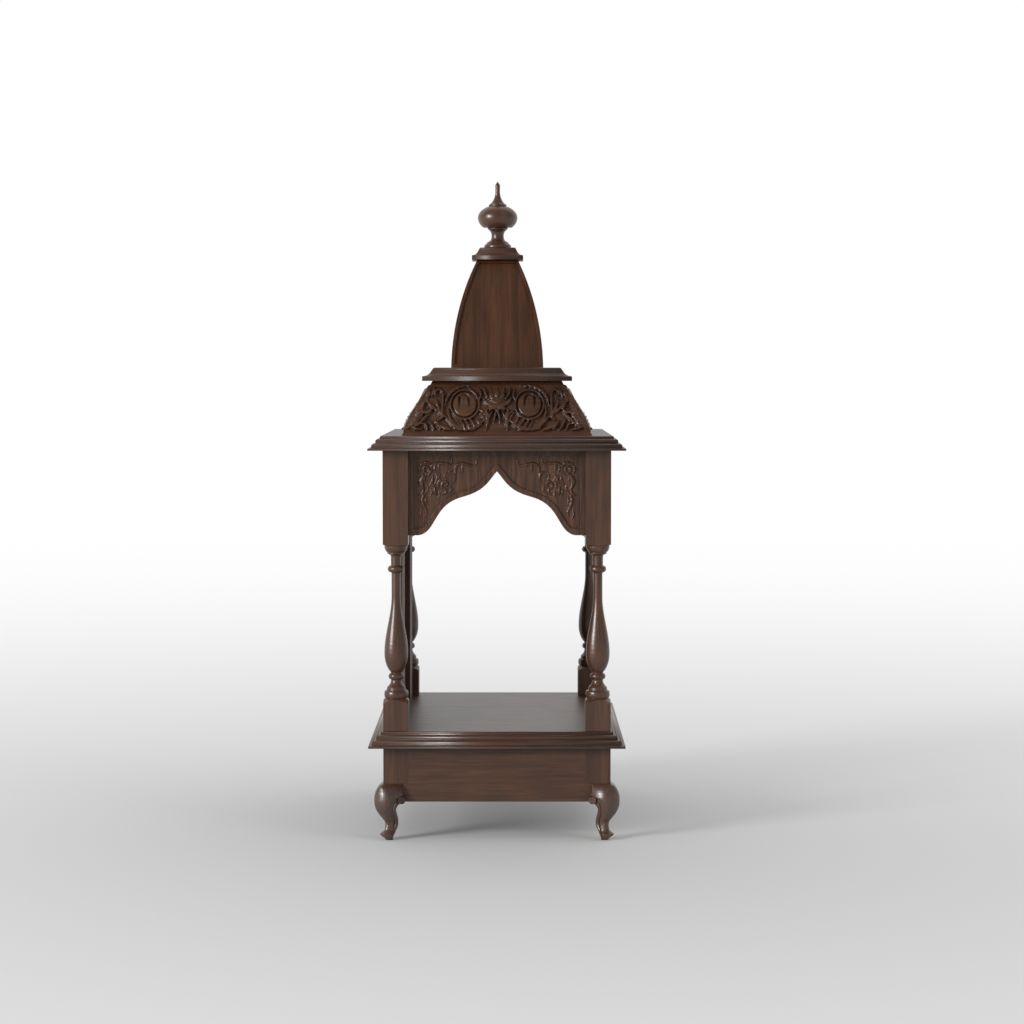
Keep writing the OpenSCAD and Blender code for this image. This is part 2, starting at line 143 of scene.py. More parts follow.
# Moulded nodes: roughness, specular level and roundness of their edges
MOULDED = [
    ("floor_board", 0.39, 0.75, 1.07),
    ("lower_cornice", 0.41, 0.85, 1.15),
    ("upper_cornice", 0.44, 0.53, 1.20),
    ("tower_cap", 0.46, 0.45, 1.00),
]
MOULDING_TONE = 0.86                # how light the stain of a moulding is
MOULDING_POLISH = 0.07              # how much smoother a moulded edge is than the flat top over it
FLAT_TOP = (0.95, 0.995)            # the upward part of the normal on an edge and on a flat top
KNEE_ROUNDNESS = 1.2
KNEE_OUTWARD = 0.0045               # how far the crown of a knee is outside the middle of its leg, in metres


def layer(tree, place, along, name):
    """One layer of the wood, drawn out along its grain."""
    lengthwise, across, detail, roughness, distortion = LAYERS[name]
    scale = tuple(lengthwise if axis in along else across for axis in "XYZ")
    mapped = add(tree, "ShaderNodeMapping", {"Vector": place, "Scale": scale}).outputs[0]
    return add(tree, "ShaderNodeTexNoise", {"Vector": mapped, "Scale": 1.0, "Detail": detail,
                                            "Roughness": roughness, "Distortion": distortion}).outputs[0]


def stained(tree, figure, patch, stain):
    """Colour of the figure of the wood, with warm patches over it."""
    dark, light = stain
    warm = tuple(share * part for share, part in zip(WARMER, light))
    ramp = add(tree, "ShaderNodeValToRGB", {"Fac": figure})
    first, last = ramp.color_ramp.elements
    first.position, last.position = FIGURE_RANGE
    first.color, last.color = (*dark, 1), (*light, 1)
    share = span(tree, patch, *WARM_RANGE, 0.0, WARM_SHARE)
    mixed = add(tree, "ShaderNodeMix", {"Factor": share, "A": ramp.outputs[0], "B": (*warm, 1)},
                data_type="RGBA")
    return mixed.outputs["Result"]


def worn_edges(tree, soft, flat, mottle):
    """Brighter where the rounded normal strays from the flat one, which is along the edges."""
    agree = vector_node(tree, "DOT_PRODUCT", soft, flat).outputs["Value"]
    edge = span(tree, agree, *EDGE_AGREE, 0.0, 1.0)
    worn = product(tree, edge, span(tree, mottle, *WEAR_RANGE, 0.0, EDGE_WEAR))
    return math_node(tree, "ADD", 1.0, worn)


def crowned(tree, place, normal, flat, middle, half):
    """The normal of a moulded edge or a knee, turned outwards towards the ends of its run."""
    spot = parts_of(tree, vector_node(tree, "SUBTRACT", place, (*middle, 0)).outputs[0])
    facing = parts_of(tree, flat)
    lean_x = product(tree, spot["X"], 1 / half[0], math_node(tree, "ABSOLUTE", facing["Y"]))
    lean_y = product(tree, spot["Y"], 1 / half[1], math_node(tree, "ABSOLUTE", facing["X"]))
    lean = add(tree, "ShaderNodeCombineXYZ", {0: lean_x, 1: lean_y}).outputs[0]
    total = vector_node(tree, "ADD", normal, lean).outputs[0]
    return vector_node(tree, "NORMALIZE", total).outputs[0]


def wood(name, along, stain=WALNUT, tone=1.0, streaks=0.10, blotch=0.06, pores=0.20, bands=0.0,
         rough=0.30, relief=0.25, crown=None, flat_top=False, hollow_shade=0.0, lacquer=PLAIN_LACQUER):
    """Stained and lacquered wood whose grain runs along an axis, or in a plane such as 'YZ'.

    tone is how light its stain is. streaks, blotch, pores and bands are how much those change it, and
    hollow_shade is how much painted shade darkens the recesses of the carving. relief is how much its pores
    are felt. crown is the middle and the half sizes of a moulded edge or a knee, and flat_top leaves the
    flat top over such an edge plainly lacquered."""
    material, tree = new_material(name)
    place = add(tree, "ShaderNodeTexCoord").outputs["Object"]
    flat = add(tree, "ShaderNodeNewGeometry").outputs["Normal"]
    soft = add(tree, "ShaderNodeBevel", {"Radius": EDGE_RADIUS}, samples=4).outputs[0]
    figure, streak, mottle, patch, pore = (
        layer(tree, place, along, kind) for kind in ("figure", "streak", "mottle", "patch", "pore"))

    shade = product(
        tree,
        span(tree, streak, *STREAK_RANGE, tone * (1 - streaks), tone * (1 + streaks)),
        span(tree, pore, *PORE_RANGE, 1 - pores, 1 + PORE_LIFT * pores),
        span(tree, mottle, *BLOTCH_RANGE, 1 - blotch, 1 + blotch),
        worn_edges(tree, soft, flat, mottle))
    if bands:
        band = layer(tree, place, along, "band")
        shade = product(tree, shade, span(tree, band, *BAND_RANGE, 1.0, 1 - bands))
    if hollow_shade:
        # Painted shade: the colour is darkened in the recesses of the carving, the more the nearer their
        # walls
        open_sky = add(tree, "ShaderNodeAmbientOcclusion", {"Distance": HOLLOW_SHADE_REACH}, samples=6,
                       only_local=True).outputs["AO"]
        shade = product(tree, shade, span(tree, open_sky, *HOLLOW_SHADE_SKY, 1 - hollow_shade, 1.0))
    colour = add(tree, "ShaderNodeVectorMath", {0: stained(tree, figure, patch, stain), "Scale": shade},
                 operation="SCALE").outputs[0]

    gloss = span(tree, pore, *SHEEN_RANGE, rough + DULLER, rough - SMOOTHER)
    if crown:
        soft = crowned(tree, place, soft, flat, *crown)
    if flat_top:
        level = parts_of(tree, flat)["Z"]
        gloss = math_node(tree, "SUBTRACT", gloss, span(tree, level, *FLAT_TOP, MOULDING_POLISH, 0.0))
        lacquer = span(tree, level, *FLAT_TOP, lacquer, PLAIN_LACQUER)
    felt = add(tree, "ShaderNodeBump", {"Height": pore, "Strength": relief, "Distance": PORE_DEPTH,
                                        "Normal": soft}).outputs[0]
    surface = add(tree, "ShaderNodeBsdfPrincipled", {"Base Color": colour, "Roughness": gloss,
                                                     "Normal": felt, "IOR": LACQUER_IOR,
                                                     "Specular IOR Level": lacquer})
    add(tree, "ShaderNodeOutputMaterial", {"Surface": surface.outputs[0]})
    return material


def plan(name, roundness, outward=0.0):
    """Middle of a node seen from above, moved outward, and its half sizes, shorter for a rounder edge."""
    low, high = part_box(name)
    middle = [(low[i] + high[i]) / 2 for i in (0, 1)]
    middle = [spot + math.copysign(outward, spot) for spot in middle]
    half = [(high[i] - low[i]) / 2 / roundness for i in (0, 1)]
    return middle, half


def dress(names, material):
    for name in names:
        data = nodes[name].data
        data.materials.clear()
        data.materials.append(material)


def ending(*ends):
    return [name for name in nodes if name.endswith(ends)]


def dress_flat_boards():
    dress(nodes, wood("flat_upright", "Z", tone=0.96, rough=0.42))
    dress([name for name in nodes if name.startswith("back_wall")], wood("wall_grain", "Z", rough=0.62))
    dress(["front_apron", "rear_apron"], wood("flat_crosswise", "X", rough=0.45))
    dress(["left_apron", "right_apron"], wood("flat_lengthwise", "Y", rough=0.45))


def dress_carved_boards():
    # Both kinds of carved board get painted shade in the recesses of their carving
    gloss = dict(rough=0.27, relief=0.15, hollow_shade=0.95, lacquer=0.42)
    dress(["front_roof_skirt", "rear_roof_skirt"], wood("carved_crosswise", "X", **gloss))
    dress(["left_roof_skirt", "right_roof_skirt"], wood("carved_lengthwise", "Y", **gloss))
    dress(ending("_arch"), wood("arch_grain", "Z", tone=1.10, streaks=0.22, pores=0.52, rough=0.36,
                                relief=1.0, hollow_shade=0.45))


def dress_turned_and_shaped():
    dress(ending("_column", "finial"), wood("turned", "Z", rough=0.32, relief=0.04, lacquer=0.62))
    for name in ending("_leg"):
        dress([name], wood(name + "_wood", "Z", rough=0.36, relief=0.04, lacquer=0.95,
                           crown=plan(name, KNEE_ROUNDNESS, KNEE_OUTWARD)))
    for name, rough, lacquer, roundness in MOULDED:
        dress([name], wood(name + "_wood", "X", tone=MOULDING_TONE, rough=rough, lacquer=lacquer,
                           crown=plan(name, roundness), flat_top=True))


def dress_tower():
    look = dict(stain=RED_WALNUT, bands=0.25, rough=0.52, relief=0.4, lacquer=0.25)
    dress(["front_tower_side", "rear_tower_side"], wood("tower_crosswise", "YZ", **look))
    dress(["left_tower_side", "right_tower_side"], wood("tower_lengthwise", "XZ", **look))


# ---------------------------------------------------------------- strokes of the carving
# A stroke is (points in mm, half widths in mm, heights in mm, form). Its curve runs smoothly
# through the points, and the half widths and heights are spread along it. Across it a "stem"
# is round, and a "leaf" is round with a sunk vein and a lobed edge.

# Half of a skirt side: across from its middle and up from its foot
SKIRT_STROKES = [
    # C scroll and outer leaf round the medallion
    ([(42, 88), (60, 89.5), (79, 81), (89, 68), (93, 55)],
     (1.5, 4.0, 4.5, 3.5, 1.5), (3.0, 4.0, 4.5, 4.5, 4.0), "leaf"),
    ([(87, 52), (87, 40), (83, 29), (76, 20), (67, 12)],
     (1.5, 2.6, 2.8, 3.0, 2.5), (4.0, 4.8, 5.2, 5.5, 5.0), "stem"),
    ([(96, 36), (90, 31), (84, 24), (77, 16), (71, 11)],
     (1.2, 2.2, 2.4, 2.2, 1.4), (5.0, 6.5, 6.8, 6.2, 5.0), "stem"),
    ([(52, 86), (45, 80), (38, 72), (36, 66)], (1.5, 2.5, 2.5, 1.5), (3.5, 5.0, 5.5, 5.0), "stem"),
    # upright stem with a curled top, and the leaves beside it
    ([(98, 33), (98, 50), (97, 66), (98, 77), (104, 82), (110, 79), (111, 73), (107, 70)],
     (3.5, 2.5, 2.5, 2.5, 2.8, 2.5, 2.0, 1.2), (5.0, 5.0, 5.0, 5.5, 5.5, 5.0, 4.5, 4.0), "stem"),
    ([(109, 63), (107, 55), (103, 45), (99, 36)], (2.0, 3.5, 3.5, 2.0), (4.5, 5.5, 5.5, 5.0), "leaf"),
    ([(126, 62), (118, 53), (110, 46), (101, 38)], (2.0, 3.8, 3.5, 1.5), (5.0, 6.5, 6.0, 4.5), "leaf"),
    ([(121, 84), (122, 75), (125, 64)], (2.0, 4.5, 2.0), (3.0, 4.0, 3.5), "leaf"),
    ([(112, 86), (114, 78), (118, 68)], (1.5, 3.0, 1.5), (3.0, 3.8, 3.0), "stem"),
    # curl beside the outer leaf
    ([(130, 58), (134, 50), (133, 43), (126, 41), (119, 44), (118, 50), (123, 51)],
     (2.0, 3.0, 3.2, 3.2, 2.8, 2.2, 1.5), (5.0, 6.0, 6.5, 6.5, 6.0, 5.5, 5.0), "stem"),
    # leaves of the lower corner
    ([(139, 52), (138, 38), (147, 24), (164, 12)], (2.5, 7.0, 7.0, 3.0), (5.5, 6.8, 7.0, 6.0), "leaf"),
    ([(138, 46), (142, 43)], (1.3, 1.1), (8.4, 7.2), "stem"),
    ([(137, 40), (144, 37)], (1.5, 1.2), (9.0, 7.4), "stem"),
    ([(139, 34), (147, 30)], (1.6, 1.2), (9.0, 7.4), "stem"),
    ([(143, 28), (152, 24)], (1.6, 1.2), (9.0, 7.4), "stem"),
    ([(149, 21), (157, 18)], (1.5, 1.1), (8.6, 7.2), "stem"),
    ([(120, 39), (129, 32), (138, 22), (150, 14)], (1.5, 3.5, 3.5, 2.0), (4.5, 6.5, 6.5, 5.5), "leaf"),
    ([(137, 21), (128, 20), (124, 11)], (1.5, 2.8, 2.2), (5.0, 6.0, 5.0), "stem"),
    ([(122, 27), (117, 19), (112, 11)], (1.5, 3.0, 2.2), (5.0, 6.0, 5.0), "stem"),
    ([(110, 26), (105, 19), (101, 12)], (2.0, 4.0, 2.5), (5.0, 6.0, 5.0), "leaf"),
    ([(153, 16), (144, 12), (134, 11)], (1.5, 2.6, 2.0), (5.5, 6.5, 5.0), "stem"),
    ([(100, 17), (92, 13), (83, 11)], (3.0, 4.5, 3.0), (5.0, 5.8, 5.0), "stem"),
    ([(104, 27), (98, 32), (93, 34)], (1.5, 2.6, 1.5), (4.5, 6.0, 5.0), "stem"),
    # leaf that runs along the foot to the middle, with its lobes
    ([(76, 13), (62, 11.5), (46, 12), (34, 18), (24, 27)],
     (3.0, 4.5, 5.0, 4.5, 2.0), (5.0, 5.5, 5.8, 5.5, 4.0), "leaf"),
    ([(76, 14), (52, 17), (32, 23)], (5.0, 8.5, 6.0), (3.0, 3.4, 3.0), "stem"),
    ([(57, 12), (60, 19), (64, 25)], (2.5, 3.2, 1.4), (6.0, 7.0, 5.0), "stem"),
    ([(48, 12), (52, 20), (57, 27)], (2.8, 3.8, 1.6), (6.0, 7.2, 5.0), "stem"),
    ([(39, 15), (43, 22), (49, 29)], (2.8, 3.8, 1.6), (6.0, 7.0, 5.0), "stem"),
    ([(30, 19), (34, 25), (39, 31)], (2.4, 3.4, 1.4), (5.5, 6.2, 4.5), "stem"),
    # leaves between the medallion and the flower
    ([(32, 82), (29, 74), (31, 66), (36, 58)], (1.5, 2.6, 2.4, 1.4), (4.0, 5.0, 5.0, 4.0), "stem"),
    ([(23, 84), (21, 75), (16, 66)], (1.8, 3.4, 1.8), (4.5, 5.6, 4.5), "leaf"),
    ([(33, 47), (26, 42), (20, 36)], (1.5, 2.5, 1.5), (3.0, 4.0, 3.0), "stem"),
    # flower in the middle
    ([(0, 58), (0, 70), (0, 82)], (16.0, 17.0, 12.0), (3.2, 3.2, 1.0), "stem"),
    ([(0, 62), (0, 74), (0, 87)], (4.0, 6.0, 1.8), (5.0, 6.2, 4.0), "leaf"),
    ([(5, 62), (10, 72), (12, 84)], (3.0, 5.0, 1.6), (4.6, 5.6, 3.8), "leaf"),
    ([(0, 54), (11, 55), (20, 59), (26, 67)], (6.0, 5.4, 3.8, 1.6), (6.2, 6.0, 5.2, 4.6), "stem"),
    ([(0, 59), (6, 61), (13, 62)], (2.5, 2.5, 1.2), (7.4, 7.0, 5.5), "stem"),
    # curled lips and drooping leaves under it
    ([(0, 45), (5, 47.5), (11, 46.5), (14, 42)], (2.0, 2.4, 2.2, 1.2), (6.0, 6.8, 6.4, 5.0), "stem"),
    ([(0, 50), (10, 49.5), (20, 45)], (1.8, 2.4, 1.2), (5.4, 5.8, 4.6), "stem"),
    ([(1.5, 43), (4, 34), (6, 23)], (2.2, 2.8, 1.4), (6.0, 6.4, 4.6), "leaf"),
    ([(8, 43), (11.5, 38), (12.5, 32)], (1.4, 2.0, 1.0), (5.4, 5.6, 4.4), "stem"),
    ([(20, 45), (17.5, 36), (17.5, 24), (19.5, 10)], (2.5, 5.2, 4.4, 1.4), (5.0, 6.2, 6.0, 4.4), "leaf"),
    ([(30, 40), (25, 33), (22, 25)], (1.6, 3.0, 1.8), (4.5, 5.4, 4.4), "leaf"),
]
MEDALLION = (58, 55)
MEDALLION_HALF = (21.5, 22.0)
# Grooves cut into the medallion
BUD = [
    ([(67, 68), (67.5, 60), (67, 49)], (2.0, 2.1, 1.3), (4.4, 4.2, 1.8), "stem"),
    ([(64, 72), (58, 73), (52.5, 69), (50, 61), (49.5, 51)], (1.2, 1.9, 2.2, 2.0, 1.3),
     (2.4, 3.6, 4.4, 4.0, 1.8), "stem"),
    ([(58.5, 67), (58.5, 55)], (1.1, 0.9), (1.8, 0.9), "stem"),
]

# One corner of an arch board: across from its middle and down from its top
ARCH_STROKES = [
    # branches along the top, with their hanging leaves
    ([(36, 18), (37.5, 25), (42, 27.5), (50, 26.5), (60, 24), (69, 25), (73.5, 30), (74.5, 38), (74, 49)],
     (1.2, 1.8, 2.0, 2.4, 2.8, 2.6, 3.0, 2.4, 1.2), (2.0, 2.2, 2.4, 2.8, 3.0, 3.0, 3.2, 2.6, 2.0), "stem"),
    ([(60, 25), (62, 32), (61, 40)], (1.8, 2.4, 1.0), (2.6, 2.8, 2.0), "leaf"),
    ([(80, 15), (81, 22), (85, 25), (92, 24), (103, 23), (112, 25.5), (119, 31)],
     (1.2, 1.8, 2.0, 2.4, 2.4, 2.4, 2.0), (2.0, 2.4, 2.6, 2.8, 2.8, 2.8, 2.4), "stem"),
    ([(102, 24), (104, 31), (102, 38)], (1.5, 2.2, 1.0), (2.6, 2.8, 2.0), "leaf"),
    ([(109, 26), (111, 33), (109, 40)], (1.5, 2.2, 1.0), (2.6, 2.8, 2.0), "leaf"),
    # curled leaves in the corner
    ([(115, 27), (124, 22), (135, 24)], (1.4, 3.0, 1.4), (2.4, 3.4, 2.4), "leaf"),
    ([(134, 26), (138, 33), (136, 42)], (1.4, 2.8, 1.2), (2.4, 3.2, 2.2), "leaf"),
    ([(114, 33), (118, 38), (122, 45)], (1.2, 2.2, 1.2), (2.4, 3.2, 2.2), "stem"),
    ([(132, 34), (128, 29), (122, 31), (122, 37), (127, 40), (131, 37), (127, 34)],
     (1.6, 2.0, 2.2, 2.0, 2.0, 1.6, 1.2), (2.6, 3.2, 3.2, 3.0, 3.0, 2.8, 2.4), "stem"),
    ([(125, 43), (129, 48), (127, 56)], (1.2, 2.4, 1.0), (2.2, 2.8, 2.0), "leaf"),
    # stem down the side, with the leaves at its foot
    ([(131, 45), (134, 53), (133.5, 63), (131, 70), (134, 77), (140, 80)],
     (2.4, 3.2, 3.0, 2.0, 2.2, 1.2), (2.8, 3.4, 3.2, 2.6, 2.6, 2.0), "stem"),
    ([(127, 76), (132, 83), (133, 92), (130, 100), (126, 109), (127, 119)],
     (1.4, 3.0, 3.4, 3.0, 2.6, 1.2), (2.4, 3.4, 3.4, 3.2, 2.8, 1.8), "leaf"),
    ([(126, 84), (127, 91), (124, 98)], (1.2, 2.2, 1.0), (2.2, 3.0, 2.0), "stem"),
    ([(135, 106), (136, 115), (133, 124)], (1.2, 2.2, 1.0), (2.0, 2.6, 1.8), "leaf"),
    # leaves of the middle
    ([(86, 38), (79, 41), (75.5, 49), (77.5, 58)], (1.2, 2.4, 2.6, 1.2), (2.2, 3.4, 3.4, 2.2), "stem"),
    ([(90, 40), (93, 46), (90, 53)], (1.0, 2.0, 1.0), (2.2, 2.8, 2.0), "leaf"),
    ([(104, 72), (102, 79), (105, 86)], (1.0, 2.2, 1.0), (2.0, 2.8, 2.0), "leaf"),
    ([(118, 68), (116, 75), (119, 82)], (1.0, 2.2, 1.0), (2.0, 2.8, 2.0), "leaf"),
    ([(124, 62), (123, 69), (126, 75)], (1.0, 2.0, 1.0), (2.0, 2.6, 2.0), "leaf"),
    ([(84, 64), (82, 70), (85, 76)], (1.0, 2.0, 1.0), (2.0, 2.6, 2.0), "stem"),
    ([(137, 48), (138, 56), (137, 64)], (1.0, 1.8, 1.0), (2.0, 2.6, 2.0), "stem"),
    ([(101, 42), (104, 48), (99, 56)], (1.2, 2.8, 1.2), (2.4, 3.2, 2.2), "leaf"),
    ([(108, 43), (107, 52), (111, 61)], (1.2, 2.6, 1.2), (2.2, 3.0, 2.2), "leaf"),
    ([(114, 45), (115, 54), (120, 63)], (1.2, 2.8, 1.2), (2.2, 3.0, 2.2), "leaf"),
    ([(103, 55), (105, 62), (103, 69)], (1.2, 2.4, 1.0), (2.2, 2.8, 2.0), "leaf"),
    ([(97, 68), (98, 61), (93, 56), (88, 59), (90, 64)],
     (1.8, 2.2, 2.4, 2.2, 1.4), (2.8, 2.8, 3.2, 3.0, 2.4), "stem"),
    ([(97, 65), (92, 70), (92, 76), (99, 80)], (1.6, 2.2, 2.2, 1.2), (2.6, 2.8, 2.8, 2.0), "stem"),
    ([(111, 65), (110.5, 72), (109, 80)], (1.4, 3.2, 1.4), (2.4, 3.8, 2.2), "stem"),
]


# ---------------------------------------------------------------- carving
CURVE_STEPS = 14                    # pieces of curve between two points of a stroke
EDGE_FALL = 1.5                     # how far past its edge a stroke still counts, in mm
FULLNESS = 2.6                      # of a stroke across its width: 2 is a half round
LOBE = 2.2                          # length of the lobes of a leaf, against its half width
LOBED_WIDTH = (0.80, 0.24)          # half width of a leaf between its lobes, and what a lobe adds
LOBED_HEIGHT = (0.84, 0.16)         # its height between its lobes, and what a lobe adds
VEIN_DEPTH = 0.50                   # against the height of the leaf
VEIN_WIDTH = 0.22                   # against its half width

CARVED_DEPTH = 1.25                 # how many times higher than listed the carving of the skirt stands
GROUND = 0.4                        # listed height of the ground between its strokes, in mm
RING = 1.19                         # middle of the ring round the medallion, against its half size
RING_HALF = 0.11                    # half width of the ring, against the same
RING_HEIGHT = 5.6                   # mm
TROUGH = 0.1                        # height between the ring and the medallion, in mm
DOME = (2.4, 4.6)                   # height of the edge of the medallion, and of its middle over it, in mm

SKIRT_BAND = (6.0, 91.0)            # foot and head of the carved band above the foot of the skirt, in mm
SKIRT_LEAN = 53.5                   # how far a side of the skirt leans in over its height, in mm
SKIRT_ROWS = 107                    # of points up a side
SKIRT_SPACING = 0.8                 # of the points across its foot, in mm, or a little more
DRAWN_SKIRT_HALF = 170              # half width of the foot that the strokes are drawn for, in mm
CORNER_SWELL = 5.2                  # how far the leaves swell out at the corners of the skirt, in mm
CORNER_FULLNESS = 0.4               # how square their outline is: 1 is a half wave, 0 is straight
CORNER_FULL_TO = 35                 # height above the foot where they start to shrink, in mm
CORNER_HEAD = 0.55                  # what is left of them at the head of the band
CORNER_FROM = 0.93                  # share of the half width where they begin
CORNER_BLEND = 1.2                  # how late they take over from the carving beside them
BAND_RUN_OUT = 2.5                  # over which the band sinks away at its foot and head, in mm
BAND_UNDER = 1.0                    # how far it ends under the face of the board, in mm
SHEET_DEPTH = 1.2                   # how far the back of a carved sheet is let into its board, in mm

ARCH_ACROSS = (32, 144)             # what the strokes of an arch corner reach, in mm
ARCH_DOWN = (12, 128)
ARCH_SPACING = 0.9                  # of the points both ways, in mm
DRAWN_ARCH_HALF = 157.5             # half width of the board that the strokes are drawn for, in mm
ARCH_FIELD = 3.0                    # how far the field of an arch board is sunk, in mm
ARCH_UNDER = -0.7                   # where the carving ends, under the face of the field, in mm


def smooth_run(points):
    """Points of a smooth curve through the given ones."""
    ends = np.vstack([2 * points[0] - points[1], points, 2 * points[-1] - points[-2]])
    share = np.linspace(0, 1, CURVE_STEPS, endpoint=False)[:, None]
    run = []
    for a, b, c, d in zip(ends, ends[1:], ends[2:], ends[3:]):
        run.append(0.5 * (2 * b + (c - a) * share + (2 * a - 5 * b + 4 * c - d) * share ** 2
                          + (3 * b - a - 3 * c + d) * share ** 3))
    return np.vstack([*run, points[-1:]])


def stroke_height(x, y, run, half, high, form, drop):
    """Height of one stroke at some places, falling off to drop past its edge."""
    length = np.concatenate([[0], np.cumsum(np.hypot(*np.diff(run, axis=0).T))])
    lobe = LOBE * max(half)
    best = np.full(x.shape, drop)
    for i in range(len(run) - 1):
        step = run[i + 1] - run[i]
        share = ((x - run[i, 0]) * step[0] + (y - run[i, 1]) * step[1]) / (step @ step + 1e-9)
        share = np.clip(share, 0, 1)
        gap = np.hypot(x - run[i, 0] - share * step[0], y - run[i, 1] - share * step[1])
        wide = half[i] + share * (half[i + 1] - half[i])
        level = high[i] + share * (high[i + 1] - high[i])
        if form == "leaf":
            ripple = 0.5 + 0.5 * np.cos(2 * np.pi * (length[i] + share * np.hypot(*step)) / lobe)
            wide = wide * (LOBED_WIDTH[0] + LOBED_WIDTH[1] * ripple)
            vein = VEIN_DEPTH * np.exp(-(gap / wide / VEIN_WIDTH) ** 2)
            level = level * (1 - vein) * (LOBED_HEIGHT[0] + LOBED_HEIGHT[1] * ripple)
        level = level * np.sqrt(np.clip(1 - (gap / wide) ** FULLNESS, 0, 1))
        level = np.where(gap < wide, level, np.maximum(drop, wide - gap))
        best = np.maximum(best, level)
    return best


def carve(across, up, strokes, ground, drop):
    """Height of the carving over a grid: the highest stroke at each place, over the ground.

    Past the edge of a stroke the height falls off to drop, which is how islands are cut out."""
    height = np.full(across.shape, ground, float)
    for points, widths, heights, form in strokes:
        run = smooth_run(np.array(points, float))
        along = np.linspace(0, 1, len(run))
        stops = np.linspace(0, 1, len(widths))
        half = np.interp(along, stops, widths)
        high = np.interp(along, stops, heights)
        reach = half.max() + EDGE_FALL
        near = ((across > run[:, 0].min() - reach) & (across < run[:, 0].max() + reach)
                & (up > run[:, 1].min() - reach) & (up < run[:, 1].max() + reach))
        level = stroke_height(across[near], up[near], run, half, high, form, drop)
        height[near] = np.maximum(height[near], level)
    return height


def soften(height):
    """Heights evened out a little over their neighbours, so that the carving isn't stepped."""
    for axis in (0, 1):
        before, after = np.roll(height, 1, axis), np.roll(height, -1, axis)
        evened = 0.25 * before + 0.5 * height + 0.25 * after
        inner = [slice(None), slice(None)]
        inner[axis] = slice(1, -1)
        height = height.copy()
        height[tuple(inner)] = evened[tuple(inner)]
    return height


def skirt_carving(across, up):
    """Height of the carving of a skirt side, in mm, at places in the drawn pattern."""
    height = CARVED_DEPTH * carve(across, up, SKIRT_STROKES, GROUND, 0.0)
    off = np.hypot((across - MEDALLION[0]) / MEDALLION_HALF[0], (up - MEDALLION[1]) / MEDALLION_HALF[1])
    ring = RING_HEIGHT * np.sqrt(np.clip(1 - ((off - RING) / RING_HALF) ** 2, 0, 1))
    height = np.where(off < RING, TROUGH, height)
    height = np.where(off < RING + RING_HALF, np.maximum(ring, height), height)
    dome = DOME[0] + DOME[1] * np.sqrt(np.clip(1 - off ** 2, 0, 1))
    return np.where(off < 1, dome - carve(across, up, BUD, 0.0, 0.0), height)


def drawn_place(across, half_foot):
    """Where places on a skirt side are in the drawn pattern. A longer side has one more medallion."""
    longer = half_foot - DRAWN_SKIRT_HALF
    if longer < 1:
        return across
    outer_middle = MEDALLION[0] + longer
    inner = np.abs(across - outer_middle / 2) * MEDALLION[0] / (outer_middle / 2)
    return np.where(across < outer_middle, inner, across - longer)


def corner_line(up):
    """How far the corners of the skirt swell out at heights above its foot, in mm."""
    foot, head = SKIRT_BAND
    swell = CORNER_SWELL * np.sin(np.pi * (up - foot) / (head - foot)) ** CORNER_FULLNESS
    return swell * np.interp(up, [foot, CORNER_FULL_TO, head], [1.0, 1.0, CORNER_HEAD])


# ---------------------------------------------------------------- carved sheets
def face_of(side, turn):
    """Half width, outer face, foot and head of a node that faces one way, in mm."""
    low, high = [1000 * np.array(corner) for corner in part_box(side)]
    across, out = (0, 1) if turn % 180 == 0 else (1, 0)
    return high[across], max(abs(low[out]), high[out]), low[2], high[2]


def grid_faces(index):
    """Quads between the points of a grid of indices."""
    corners = [index[:-1, :-1], index[:-1, 1:], index[1:, 1:], index[1:, :-1]]
    return np.stack(corners, -1).reshape(-1, 4)


def carved_piece(side, turn, places, faces, material):
    """Carving of one side, from points in mm as they are on the front, turned to the way it faces."""
    angle = math.radians(turn)
    spin = np.array([[math.cos(angle), -math.sin(angle), 0],
                     [math.sin(angle), math.cos(angle), 0],
                     [0, 0, 1]])
    data = bpy.data.meshes.new(side + "_carving")
    data.from_pydata((places @ spin.T / 1000).tolist(), [], faces)
    data.polygons.foreach_set("use_smooth", [len(face) <= 4 for face in faces])
    data.materials.append(material)
    piece = bpy.data.objects.new(side + "_carving", data)
    bpy.context.scene.collection.objects.link(piece)
    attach(piece, "root")


def skirt_relief(side, turn, material):
    """Carved sheet over one sloping side of the roof skirt, closed behind by a flat back."""
    half_foot, out_foot, foot_z, head_z = face_of(side, turn)
    lean = SKIRT_LEAN / (head_z - foot_z)
    up = np.linspace(*SKIRT_BAND, SKIRT_ROWS)
    share = np.linspace(-1, 1, 2 * int(half_foot / SKIRT_SPACING) + 1)
    edge = half_foot - lean * up
    across = np.abs(share)[None, :] * edge[:, None]
    rise = np.repeat(up[:, None], len(share), 1)

    height = soften(skirt_carving(drawn_place(across, half_foot), rise))
    corner = corner_line(up)[:, None]
    blend = np.clip((np.abs(share) - CORNER_FROM) / (1 - CORNER_FROM), 0, 1) ** CORNER_BLEND
    height = height * (1 - blend) + corner * blend
    ends = np.clip(np.minimum(up - SKIRT_BAND[0], SKIRT_BAND[1] - up) / BAND_RUN_OUT, 0, 1)[:, None]
    sunk = BAND_UNDER * (ends == 0)
    height = height * ends - sunk
    corner = corner * ends - sunk
    front = np.stack([np.sign(share) * (across + corner * blend),
                      lean * rise - out_foot - height,
                      foot_z + rise], -1).reshape(-1, 3)

    index = np.arange(rise.size).reshape(rise.shape)
    rim = np.concatenate([index[0, :], index[1:, -1], index[-1, -2::-1], index[-2:0:-1, 0]])
    row, column = np.divmod(rim, len(share))
    back = np.stack([share[column] * (edge[row] - SHEET_DEPTH),
                     lean * up[row] - out_foot + SHEET_DEPTH,
                     foot_z + up[row]], -1)
    back_rim = len(front) + np.arange(len(rim))
    border = np.stack([rim, back_rim, np.roll(back_rim, -1), np.roll(rim, -1)], -1)
    faces = [*grid_faces(index).tolist(), *border.tolist(), back_rim[::-1].tolist()]
    carved_piece(side, turn, np.vstack([front, back]), faces, material)


